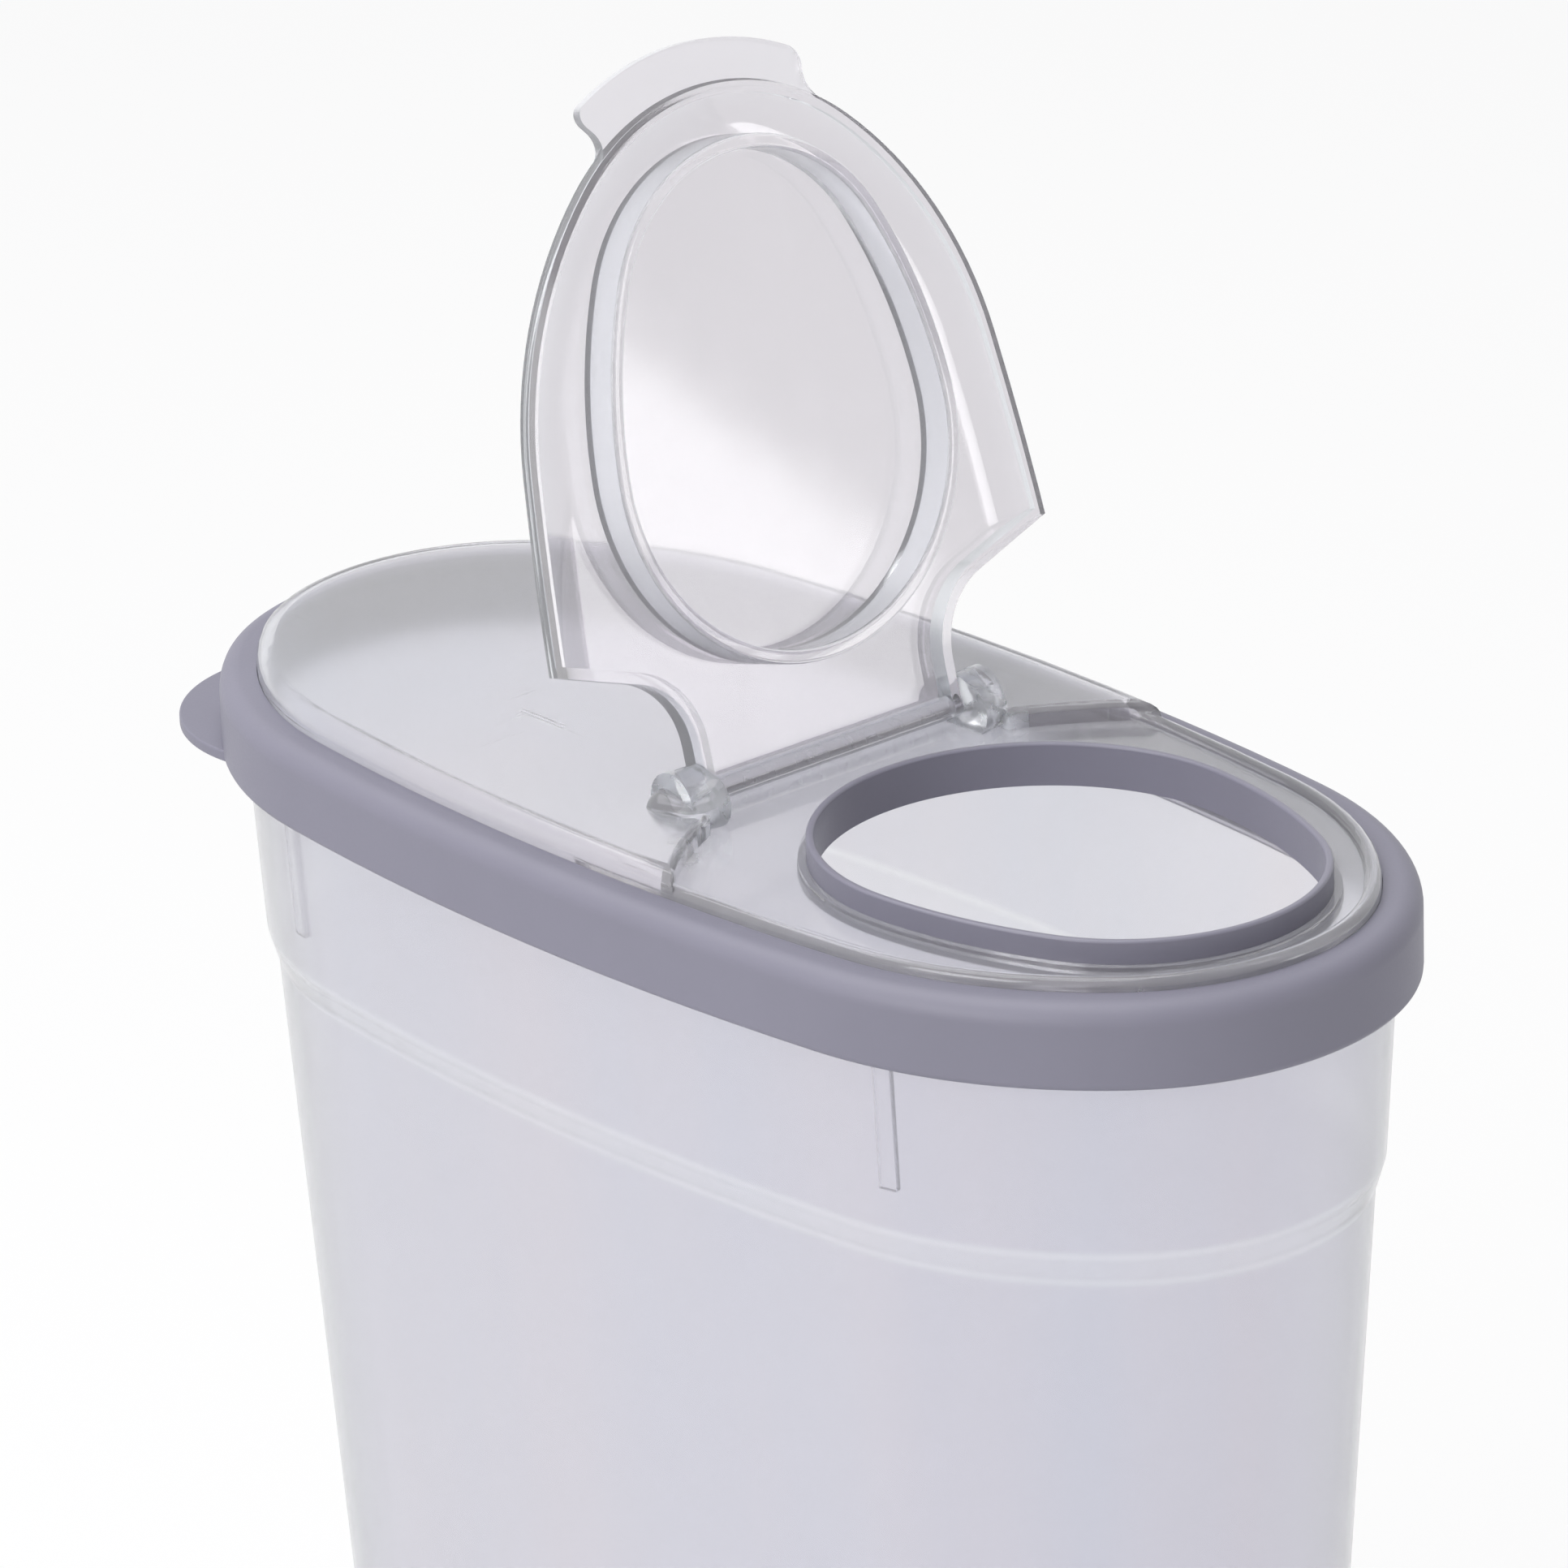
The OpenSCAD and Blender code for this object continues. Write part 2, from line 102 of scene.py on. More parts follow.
# Steps of each arc: the oval's end, corner and side, and the egg's front, flank and rear
OVAL_STEPS = (33, 16, 14)
EGG_STEPS = (48, 16, 64)

# Tints of the painted highlight along the tub's ledge, and of rubbed plastic
LEDGE_HIGHLIGHT_TINT = (0.97, 0.98, 1.0)
SCUFF_TINT = (0.96, 0.96, 0.98)


class OvalSizes(bpy.types.PropertyGroup):
    length: bpy.props.FloatProperty(name="Length", description="Length of the lid panel over its bead",
                                    default=0.190, unit="LENGTH")
    width: bpy.props.FloatProperty(name="Width", description="Width of the lid panel over its bead",
                                   default=0.0874, unit="LENGTH")
    end_radius: bpy.props.FloatProperty(name="End radius", description="Radius of the oval's two ends",
                                        default=0.034, unit="LENGTH")
    corner_radius: bpy.props.FloatProperty(name="Corner radius", description="Radius of the four corners",
                                           default=0.055, unit="LENGTH")
    end_angle: bpy.props.FloatProperty(name="End angle", description="Half the angle of each end arc",
                                       default=math.radians(42.3), subtype="ANGLE")


class TubSizes(bpy.types.PropertyGroup):
    top: bpy.props.FloatProperty(name="Top", description="Height of the tub's edge",
                                 default=LID_HEIGHT - 0.0031, unit="LENGTH")
    band: bpy.props.FloatProperty(name="Band", description="Height where the wide band ends",
                                  default=0.179, unit="LENGTH")
    ledge: bpy.props.FloatProperty(name="Ledge", description="Height where the sloping ledge ends",
                                   default=0.1745, unit="LENGTH")
    edge_reach: bpy.props.FloatProperty(name="Edge reach", description="Outside of the edge, from the bead",
                                        default=0.0024, unit="LENGTH")
    band_reach: bpy.props.FloatProperty(name="Band reach", description="Band's foot, from the bead",
                                        default=0.000347, unit="LENGTH")
    body_reach: bpy.props.FloatProperty(name="Body reach", description="Body's top, from the bead",
                                        default=-0.001053, unit="LENGTH")
    foot_reach: bpy.props.FloatProperty(name="Foot reach", description="Body's foot, from the bead",
                                        default=-0.01246, unit="LENGTH")
    wall: bpy.props.FloatProperty(name="Wall", description="Thickness of the wall",
                                  default=0.0013, unit="LENGTH")
    floor: bpy.props.FloatProperty(name="Floor", description="Thickness of the floor",
                                   default=0.002, unit="LENGTH")
    foot_radius: bpy.props.FloatProperty(name="Foot radius", description="Radius round the foot",
                                         default=0.005, unit="LENGTH")
    rib_place: bpy.props.FloatProperty(name="Rib place", description="Place of the ribs along the tub",
                                       default=0.060, unit="LENGTH")


class RimSizes(bpy.types.PropertyGroup):
    outer: bpy.props.FloatProperty(name="Outer reach", description="Outside of the rim, from the bead",
                                   default=0.00525, unit="LENGTH")
    inner: bpy.props.FloatProperty(name="Inner reach", description="Inside of the skirt, from the bead",
                                   default=0.0036, unit="LENGTH")
    height: bpy.props.FloatProperty(name="Height", description="How far the rim hangs down",
                                    default=0.012, unit="LENGTH")
    shoulder: bpy.props.FloatProperty(name="Shoulder", description="Radius of the rim's top edge",
                                      default=0.003, unit="LENGTH")
    tab_place: bpy.props.FloatVectorProperty(name="Tab place", description="Middle of the pull tab's disc",
                                             default=(-0.080, -0.014, 0.2049), subtype="TRANSLATION")
    tab_radius: bpy.props.FloatProperty(name="Tab radius", description="Radius of the pull tab",
                                        default=0.02257, unit="LENGTH")
    tab_depth: bpy.props.FloatProperty(name="Tab depth", description="Thickness of the pull tab",
                                       default=0.0016, unit="LENGTH")


class CollarSizes(bpy.types.PropertyGroup):
    front_x: bpy.props.FloatProperty(name="Front centre", description="Middle of the egg's front arc",
                                     default=0.0631, unit="LENGTH")
    front_radius: bpy.props.FloatProperty(name="Front radius", description="Radius of the egg's front arc",
                                          default=0.0264, unit="LENGTH")
    rear_x: bpy.props.FloatProperty(name="Rear centre", description="Middle of the egg's rear arc",
                                    default=0.0468, unit="LENGTH")
    rear_radius: bpy.props.FloatProperty(name="Rear radius", description="Radius of the egg's rear arc",
                                         default=0.0305, unit="LENGTH")
    flank_radius: bpy.props.FloatProperty(name="Flank radius", description="Radius of the egg's two flanks",
                                          default=0.070, unit="LENGTH")
    wall: bpy.props.FloatProperty(name="Wall", description="Thickness of the collar",
                                  default=0.0011, unit="LENGTH")
    rise: bpy.props.FloatProperty(name="Rise", description="Height of the collar over the lid's datum",
                                  default=0.0039, unit="LENGTH")
    drop: bpy.props.FloatProperty(name="Drop", description="Depth of the collar under the lid's datum",
                                  default=0.0021, unit="LENGTH")
    flange: bpy.props.FloatProperty(name="Flange", description="Reach of the flange under the deck",
                                    default=0.0012, unit="LENGTH")


class CapSizes(bpy.types.PropertyGroup):
    hinge: bpy.props.FloatVectorProperty(name="Hinge", description="Middle of the hinge axis, along Y",
                                         default=(0.0054, 0, LID_HEIGHT + 0.00325), subtype="TRANSLATION")
    open_angle: bpy.props.FloatProperty(name="Open angle", description="How far the cap stands open",
                                        default=math.radians(105), subtype="ANGLE")
    plate: bpy.props.FloatProperty(name="Plate", description="Thickness of the cap's plate",
                                   default=0.0013, unit="LENGTH")
    rim_wall: bpy.props.FloatProperty(name="Rim wall", description="Thickness of the cap's turned-down edge",
                                      default=0.0015, unit="LENGTH")
    top: bpy.props.FloatProperty(name="Top", description="Top of the closed cap over the lid's datum",
                                 default=0.0055, unit="LENGTH")
    edge: bpy.props.FloatProperty(name="Edge", description="Foot of the closed cap over the lid's datum",
                                  default=0.0016, unit="LENGTH")
    slope: bpy.props.FloatProperty(name="Slope", description="Width of the rounded slope round the cap",
                                   default=0.008, unit="LENGTH")
    drop: bpy.props.FloatProperty(name="Drop", description="Height of the rounded slope",
                                  default=0.0021, unit="LENGTH")
    tongue: bpy.props.FloatProperty(name="Tongue", description="Half the width of the tongue at the hinge",
                                    default=0.0222, unit="LENGTH")
    wing_x: bpy.props.FloatProperty(name="Wing", description="Where the cap's wings reach the bead",
                                    default=0.0263, unit="LENGTH")
    wing_lean: bpy.props.FloatProperty(name="Wing lean", description="Lean of the wings' rear edges",
                                       default=math.radians(18.4), subtype="ANGLE")
    neck: bpy.props.FloatProperty(name="Neck", description="Radius between the tongue and a wing",
                                  default=0.011, unit="LENGTH")
    thumb_length: bpy.props.FloatProperty(name="Thumb length", description="Reach of the thumb tab",
                                          default=0.0056, unit="LENGTH")
    thumb_half: bpy.props.FloatProperty(name="Thumb half", description="Half the thumb tab's width",
                                        default=0.0195, unit="LENGTH")
    thumb_rise: bpy.props.FloatProperty(name="Thumb rise", description="Slope of the thumb tab",
                                        default=math.radians(28), subtype="ANGLE")


class StageSizes(bpy.types.PropertyGroup):
    floor_size: bpy.props.FloatProperty(name="Floor", description="Side of the square floor",
                                        default=12.0, unit="LENGTH")
    lens: bpy.props.FloatProperty(name="Lens", description="Focal length of the camera in millimetres",
                                  default=243.98)
    azimuth: bpy.props.FloatProperty(name="Azimuth", description="Direction that the camera stands in",
                                     default=math.radians(49.401), subtype="ANGLE")
    elevation: bpy.props.FloatProperty(name="Elevation", description="Angle that the camera looks down",
                                       default=math.radians(21.892), subtype="ANGLE")
    roll: bpy.props.FloatProperty(name="Roll", description="Roll of the camera",
                                  default=math.radians(-1.704), subtype="ANGLE")
    stand: bpy.props.FloatVectorProperty(name="Camera place", description="Where the camera stands",
                                         default=(0.99015, -0.85208, 0.73766), subtype="TRANSLATION")


class PlasticColours(bpy.types.PropertyGroup):
    clear: bpy.props.FloatVectorProperty(name="Clear plastic", description="Tint of tub and lid",
                                         default=(0.858, 0.832, 0.872), subtype="COLOR", min=0, max=1)
    cloud: bpy.props.FloatVectorProperty(name="Clouded plastic", description="Tint where it is hazier",
                                         default=(0.82, 0.825, 0.885), subtype="COLOR", min=0, max=1)
    grey: bpy.props.FloatVectorProperty(name="Grey plastic", description="Colour of rim and collar",
                                        default=(0.212, 0.206, 0.262), subtype="COLOR", min=0, max=1)
    # Edge glow is a painted highlight: clear plastic is tinted paler and bluer where it is seen edge on
    edge: bpy.props.FloatVectorProperty(name="Edge glow", description="Tint of clear plastic seen edge on",
                                        default=(0.95, 0.97, 1.0), subtype="COLOR", min=0, max=1)


# Materials

def new_group(name, inputs, outputs):
    group = bpy.data.node_groups.new(name, "ShaderNodeTree")
    for label, kind, value in inputs:
        socket = group.interface.new_socket(label, in_out="INPUT", socket_type=kind)
        if value is not None:
            socket.default_value = value
    for label, kind in outputs:
        group.interface.new_socket(label, in_out="OUTPUT", socket_type=kind)
    return group, group.nodes.new("NodeGroupInput"), group.nodes.new("NodeGroupOutput")


def put_in(tree, target, source):
    if hasattr(source, "links"):
        tree.links.new(source, target)
    else:
        target.default_value = source


def sum_of(tree, kind, first, second, third=0.0):
    node = tree.nodes.new("ShaderNodeMath")
    node.operation = kind
    for socket, value in zip(node.inputs, (first, second, third)):
        put_in(tree, socket, value)
    return node.outputs[0]


def noise(tree, vector, scale, detail, rough=0.5):
    node = tree.nodes.new("ShaderNodeTexNoise")
    node.inputs["Scale"].default_value = scale
    node.inputs["Detail"].default_value = detail
    node.inputs["Roughness"].default_value = rough
    tree.links.new(vector, node.inputs["Vector"])
    return node.outputs["Fac"]


def span(tree, value, low, high, to_low, to_high):
    node = tree.nodes.new("ShaderNodeMapRange")
    for key, number in zip(("From Min", "From Max", "To Min", "To Max"), (low, high, to_low, to_high)):
        put_in(tree, node.inputs[key], number)
    tree.links.new(value, node.inputs["Value"])
    return node.outputs["Result"]


def blend_colour(tree, factor, first, second):
    node = tree.nodes.new("ShaderNodeMix")
    node.data_type = "RGBA"
    tree.links.new(factor, node.inputs["Factor"])
    for key, value in ((6, first), (7, second)):
        if hasattr(value, "links"):
            tree.links.new(value, node.inputs[key])
        else:
            node.inputs[key].default_value = (*value, 1)
    return node.outputs[2]


def moulded_haze():
    """Cloudy flow of translucent plastic: a tint, a roughness and a very shallow waviness."""
    group, put, out = new_group(
        "Moulded haze",
        [("Vector", "NodeSocketVector", None), ("Tint", "NodeSocketColor", (0.88, 0.87, 0.91, 1)),
         ("Cloud", "NodeSocketColor", (0.86, 0.86, 0.91, 1)), ("Gloss", "NodeSocketFloat", 0.1)],
        [("Colour", "NodeSocketColor"), ("Roughness", "NodeSocketFloat"), ("Height", "NodeSocketFloat")])
    vector = put.outputs["Vector"]
    cloud = noise(group, vector, 14.0, 3.0)
    mask = span(group, cloud, 0.35, 0.7, 0.0, 1.0)
    colour = blend_colour(group, mask, put.outputs["Tint"], put.outputs["Cloud"])
    group.links.new(colour, out.inputs["Colour"])
    fine = noise(group, vector, 260.0, 3.0)
    group.links.new(sum_of(group, "MULTIPLY_ADD", fine, 0.05, put.outputs["Gloss"]), out.inputs["Roughness"])
    wave = noise(group, vector, 30.0, 2.0)
    group.links.new(sum_of(group, "MULTIPLY_ADD", fine, 0.03, wave), out.inputs["Height"])
    return group


def handling_scuffs():
    """Thin scratches in two directions and rubbed specks, as a mask that is mostly zero."""
    group, put, out = new_group(
        "Handling scuffs",
        [("Vector", "NodeSocketVector", None), ("Amount", "NodeSocketFloat", 1.0)],
        [("Mask", "NodeSocketFloat")])
    lines = None
    for angle, stretch in ((0.6, (900.0, 14.0, 14.0)), (-0.9, (14.0, 760.0, 14.0))):
        turn = group.nodes.new("ShaderNodeMapping")
        turn.inputs["Rotation"].default_value = (0.0, 0.0, angle)
        turn.inputs["Scale"].default_value = stretch
        group.links.new(put.outputs["Vector"], turn.inputs["Vector"])
        streak = noise(group, turn.outputs["Vector"], 1.0, 2.0)
        line = span(group, streak, 0.69, 0.76, 0.0, 1.0)
        lines = line if lines is None else sum_of(group, "MAXIMUM", lines, line)
    where = span(group, noise(group, put.outputs["Vector"], 45.0, 2.0), 0.5, 0.65, 0.0, 1.0)
    rubbed = sum_of(group, "MULTIPLY", lines, where)
    group.links.new(sum_of(group, "MULTIPLY", rubbed, put.outputs["Amount"]), out.inputs["Mask"])
    return group


def rubbed_spot(tree, vector, place, radius):
    """One near a place on the piece, fading to zero at the radius."""
    gap = tree.nodes.new("ShaderNodeVectorMath")
    gap.operation = "DISTANCE"
    tree.links.new(vector, gap.inputs[0])
    gap.inputs[1].default_value = place
    ragged = noise(tree, vector, 500.0, 3.0, 0.7)
    edge = sum_of(tree, "MULTIPLY_ADD", ragged, radius, gap.outputs["Value"])
    return span(tree, edge, radius * 1.5, radius, 0.0, 1.0)


def moulded_grain():
    """Fine spark grain of a matt grey moulding."""
    group, put, out = new_group(
        "Moulded grain",
        [("Vector", "NodeSocketVector", None), ("Base", "NodeSocketColor", (0.3, 0.3, 0.33, 1)),
         ("Shade", "NodeSocketColor", (0.25, 0.25, 0.28, 1)), ("Gloss", "NodeSocketFloat", 0.5)],
        [("Colour", "NodeSocketColor"), ("Roughness", "NodeSocketFloat"), ("Height", "NodeSocketFloat")])
    vector = put.outputs["Vector"]
    broad = noise(group, vector, 30.0, 4.0)
    mask = span(group, broad, 0.3, 0.7, 0.0, 1.0)
    colour = blend_colour(group, mask, put.outputs["Base"], put.outputs["Shade"])
    group.links.new(colour, out.inputs["Colour"])
    grain = noise(group, vector, 2600.0, 2.0, 0.7)
    group.links.new(sum_of(group, "MULTIPLY_ADD", grain, 0.15, put.outputs["Gloss"]), out.inputs["Roughness"])
    group.links.new(grain, out.inputs["Height"])
    return group


def finish_of(material, group, colours, gloss, flow=(1.0, 1.0, 1.0)):
    tree = material.node_tree
    place = tree.nodes.new("ShaderNodeTexCoord")
    drawn = tree.nodes.new("ShaderNodeMapping")
    drawn.inputs["Scale"].default_value = flow
    tree.links.new(place.outputs["Object"], drawn.inputs["Vector"])
    finish = tree.nodes.new("ShaderNodeGroup")
    finish.node_tree = group
    tree.links.new(drawn.outputs["Vector"], finish.inputs["Vector"])
    for key, colour in zip((1, 2), colours):
        finish.inputs[key].default_value = (*colour, 1)
    finish.inputs["Gloss"].default_value = gloss
    return tree, place.outputs["Object"], finish


def bumped(tree, height, strength, depth):
    bumps = tree.nodes.new("ShaderNodeBump")
    bumps.inputs["Strength"].default_value = strength
    bumps.inputs["Distance"].default_value = depth
    tree.links.new(height, bumps.inputs["Height"])
    tree.links.new(bumps.outputs["Normal"], tree.nodes["Principled BSDF"].inputs["Normal"])


def new_plastic(name):
    material = bpy.data.materials.new(name)
    material.use_nodes = True
    material.node_tree.nodes["Principled BSDF"].inputs["IOR"].default_value = 1.49
    return material


def painted_highlight_band(tree, vector, low, high):
    """One between two heights, where a painted highlight makes the plastic paler, fading to zero outside."""
    parts = tree.nodes.new("ShaderNodeSeparateXYZ")
    tree.links.new(vector, parts.inputs["Vector"])
    away = sum_of(tree, "ABSOLUTE", sum_of(tree, "SUBTRACT", parts.outputs["Z"], (low + high) / 2), 0.0)
    half = (high - low) / 2
    return span(tree, away, half * 1.6, half * 0.7, 0.0, 1.0)


def clear_plastic(name, colours, gloss, clearness, wave, scuffs=0.0, spots=(), ledge_highlights=(),
                  flow=(1.0, 1.0, 1.0)):
    material = new_plastic(name)
    tree, vector, finish = finish_of(material, shared("Moulded haze", moulded_haze), colours, gloss, flow)
    shader = tree.nodes["Principled BSDF"]
    marks = tree.nodes.new("ShaderNodeGroup")
    marks.node_tree = shared("Handling scuffs", handling_scuffs)
    tree.links.new(vector, marks.inputs["Vector"])
    marks.inputs["Amount"].default_value = scuffs
    worn = marks.outputs["Mask"]
    for place, radius in spots:
        worn = sum_of(tree, "MAXIMUM", worn, rubbed_spot(tree, vector, place, radius))
    # Painted highlight: the tint turns to the edge colour where the surface is seen edge on, in place of the
    # light that its edges catch
    facing = tree.nodes.new("ShaderNodeLayerWeight")
    facing.inputs["Blend"].default_value = 0.4
    painted_edge_highlight = span(tree, facing.outputs["Facing"], 0.2, 0.75, 0.0, 1.0)
    tint = blend_colour(tree, painted_edge_highlight, finish.outputs["Colour"], bpy.context.scene.keeper_colours.edge)
    # Painted highlight: upright walls near the hinge get the same pale edge tint, and are also made a little
    # rougher
    upright = tree.nodes.new("ShaderNodeAttribute")
    upright.attribute_name = "upright"
    painted_wall_highlight = upright.outputs["Fac"]
    tint = blend_colour(tree, painted_wall_highlight, tint, bpy.context.scene.keeper_colours.edge)
    # Painted highlights: paler bands between given heights, in place of the light that the tub's ledge and
    # band reflect
    for low, high, strength in ledge_highlights:
        ledge_highlight = sum_of(tree, "MULTIPLY", painted_highlight_band(tree, vector, low, high), strength)
        tint = blend_colour(tree, ledge_highlight, tint, LEDGE_HIGHLIGHT_TINT)
    pale = blend_colour(tree, worn, tint, SCUFF_TINT)
    tree.links.new(pale, shader.inputs["Base Color"])
    rough = sum_of(tree, "MULTIPLY_ADD", worn, 0.35, finish.outputs["Roughness"])
    rough = sum_of(tree, "MULTIPLY_ADD", painted_wall_highlight, 0.16, rough)
    tree.links.new(rough, shader.inputs["Roughness"])
    shader.inputs["Transmission Weight"].default_value = clearness
    bumped(tree, sum_of(tree, "MULTIPLY_ADD", worn, -0.15, finish.outputs["Height"]), wave, 0.0006)
    return material


def grey_plastic(name, colours, gloss, grain):
    material = new_plastic(name)
    tree, _, finish = finish_of(material, shared("Moulded grain", moulded_grain), colours, gloss)
    shader = tree.nodes["Principled BSDF"]
    tree.links.new(finish.outputs["Colour"], shader.inputs["Base Color"])
    tree.links.new(finish.outputs["Roughness"], shader.inputs["Roughness"])
    bumped(tree, finish.outputs["Height"], grain, 0.00003)
    return material


def shared(name, maker):
    return bpy.data.node_groups.get(name) or maker()


def darker(colour, share):
    return [c * share for c in colour]


# Modelling

def deselect():
    if bpy.context.object and bpy.context.object.mode == "EDIT":
        bpy.ops.object.mode_set(mode="OBJECT")
    bpy.ops.object.select_all(action="DESELECT")


def only(piece):
    deselect()
    piece.select_set(True)
    bpy.context.view_layer.objects.active = piece


def apply_modifier(piece, kind, **values):
    only(piece)
    modifier = piece.modifiers.new(kind.title(), kind)
    for key, value in values.items():
        setattr(modifier, key, value)
    bpy.ops.object.modifier_apply(modifier=modifier.name)


def smooth(piece, angle=32):
    only(piece)
    bpy.ops.object.shade_smooth_by_angle(angle=math.radians(angle))
    apply_modifier(piece, "WEIGHTED_NORMAL", keep_sharp=True, weight=60)


# This mark sets where clear plastic gets a painted highlight on its upright walls
def mark_walls(piece, reach=1.0, side=1.0):
    """Keeps on each face how upright it stands, from 0 on a level plate to 1 on an upright wall.

    Faces stay at 0 where they lie further from the hinge's middle than the reach along the
    keeper, or than the side across it.
    """
    hinge = bpy.context.scene.keeper_cap.hinge[0]
    marks = piece.data.attributes.new("upright", "FLOAT", "FACE")
    for face, mark in zip(piece.data.polygons, marks.data):
        near = abs(face.center.x - hinge) < reach and abs(face.center.y) < side
        mark.value = min(1.0, 1.6 * (1.0 - abs(face.normal.z))) if near else 0.0


def copy_of_node(node, name):
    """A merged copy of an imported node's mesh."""
    source = frame["nodes"][node]
    piece = source.copy()
    piece.data = source.data.copy()
    piece.parent = None
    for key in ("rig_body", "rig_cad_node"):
        if key in piece:
            del piece[key]
    piece.name = name
    piece.data.name = name
    piece.data.materials.clear()
    bpy.context.scene.collection.objects.link(piece)
    only(piece)
    bpy.ops.object.mode_set(mode="EDIT")
    bpy.ops.mesh.select_all(action="SELECT")
    bpy.ops.mesh.remove_doubles(threshold=WELD)
    drop_flaps(piece)
    bpy.ops.mesh.select_all(action="SELECT")
    bpy.ops.mesh.dissolve_limited(angle_limit=math.radians(0.4))
    bpy.ops.mesh.normals_make_consistent(inside=False)
    bpy.ops.object.mode_set(mode="OBJECT")
    return piece


def drop_flaps(piece):
    """Deletes faces that hang on a closed skin by one side, until none is left."""
    while True:
        mesh = bmesh.from_edit_mesh(piece.data)
        bpy.ops.mesh.select_all(action="DESELECT")
        loose = [face for face in mesh.faces if any(len(edge.link_faces) == 1 for edge in face.edges)]
        if not loose:
            return
        for face in loose:
            face.select_set(True)
        bmesh.update_edit_mesh(piece.data)
        bpy.ops.mesh.delete(type="FACE")


def arc(centre, radius, start, end, steps):
    """Points on an arc, from the start angle to the end angle in degrees."""
    angles = [math.radians(start + (end - start) * i / steps) for i in range(steps + 1)]
    return [(centre[0] + radius * math.cos(a), centre[1] + radius * math.sin(a)) for a in angles]


def joined_arcs(arcs, grow):
    """A closed outline of arcs that meet smoothly, each given as centre, radius, angles and steps."""
    return [point for centre, radius, start, end, steps in arcs
            for point in arc(centre, radius + grow, start, end, steps)[:-1]]


def oval(grow):
    """The lid's oval, moved outwards from the bead."""
    sizes = bpy.context.scene.keeper_oval
    end, corner, half = sizes.end_radius, sizes.corner_radius, sizes.width / 2
    turn = math.degrees(sizes.end_angle)
    end_x = sizes.length / 2 - end
    x = end_x - (corner - end) * math.cos(sizes.end_angle)
    y = (corner - end) * math.sin(sizes.end_angle)
    lean = 90 - 2 * math.degrees(math.atan((half - corner + y) / x))
    side_y = y + x * math.tan(math.radians(lean))
    side = corner + x / math.cos(math.radians(lean))
    at_end, at_corner, at_side = OVAL_STEPS
    arcs = []
    for sign, back in ((1, 0), (-1, 180)):
        arcs += [((sign * end_x, 0), end, back - turn, back + turn, at_end),
                 ((sign * x, -sign * y), corner, back + turn, back + lean, at_corner),
                 ((0, -sign * side_y), side, back + lean, back + 180 - lean, at_side),
                 ((-sign * x, -sign * y), corner, back + 180 - lean, back + 180 - turn, at_corner)]
    return joined_arcs(arcs, grow)


def egg(grow):
    """The pouring opening's egg, moved outwards from the collar's outside."""
    sizes = bpy.context.scene.keeper_collar
    front, rear, flank = sizes.front_radius, sizes.rear_radius, sizes.flank_radius
    apart = sizes.front_x - sizes.rear_x
    along = ((flank - rear) ** 2 - (flank - front) ** 2 + apart ** 2) / (2 * apart)
    away = math.sqrt((flank - rear) ** 2 - along ** 2)
    x = sizes.rear_x + along
    fore = math.degrees(math.atan2(away, sizes.front_x - x))
    aft = math.degrees(math.atan2(away, -along))
    at_front, at_flank, at_rear = EGG_STEPS
    return joined_arcs([((sizes.front_x, 0), front, -fore, fore, at_front),
                        ((x, -away), flank, fore, aft, at_flank),
                        ((sizes.rear_x, 0), rear, aft, 360 - aft, at_rear),
                        ((x, away), flank, -aft, -fore, at_flank)], grow)


def rings_of(outline, profile):
    """Rings of points round an outline, one for each reach and height of the profile."""
    return [[(x, y, height) for x, y in outline(reach)] for reach, height in profile]


def lay_ring(piece, ring):
    """Puts the selected loop of points on a ring, each at its own step."""
    mesh = bmesh.from_edit_mesh(piece.data)
    step = mesh.verts.layers.int["step"]
    for vert in mesh.verts:
        if vert.select:
            vert.co = ring[vert[step]]
    bmesh.update_edit_mesh(piece.data)


def skin(name, rings, closed=False):
    """A skin extruded ring by ring, either closed on itself or filled at both ends."""
    deselect()
    bpy.ops.mesh.primitive_circle_add(vertices=len(rings[0]), radius=0.01,
                                      fill_type="NOTHING" if closed else "NGON")
    piece = bpy.context.object
    piece.name = piece.data.name = name
    bpy.ops.object.mode_set(mode="EDIT")
    mesh = bmesh.from_edit_mesh(piece.data)
    step = mesh.verts.layers.int.new("step")
    for i, vert in enumerate(mesh.verts):
        vert[step] = i
    lay_ring(piece, rings[0])
    for ring in rings[1:] + (rings[:1] if closed else []):
        bpy.ops.mesh.extrude_edges_move()
        lay_ring(piece, ring)
    if not closed:
        bpy.ops.mesh.edge_face_add()
    bpy.ops.mesh.select_all(action="SELECT")
    bpy.ops.mesh.remove_doubles(threshold=WELD)
    bpy.ops.mesh.normals_make_consistent(inside=False)
    bpy.ops.object.mode_set(mode="OBJECT")
    return piece


def merge_close(piece, distance=2e-5):
    """Merges points closer than the distance and turns the faces outwards."""
    only(piece)
    bpy.ops.object.mode_set(mode="EDIT")
    bpy.ops.mesh.select_all(action="SELECT")
    bpy.ops.mesh.remove_doubles(threshold=distance)
    bpy.ops.mesh.normals_make_consistent(inside=False)
    bpy.ops.object.mode_set(mode="OBJECT")


def combine(piece, other, kind):
    apply_modifier(piece, "BOOLEAN", object=other, operation=kind, solver="EXACT")
    bpy.data.objects.remove(other)


def finish_piece(piece, node, body, material):
    smooth(piece)
    piece.data.materials.clear()
    piece.data.materials.append(material)
    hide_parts(node)
    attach(piece, body)


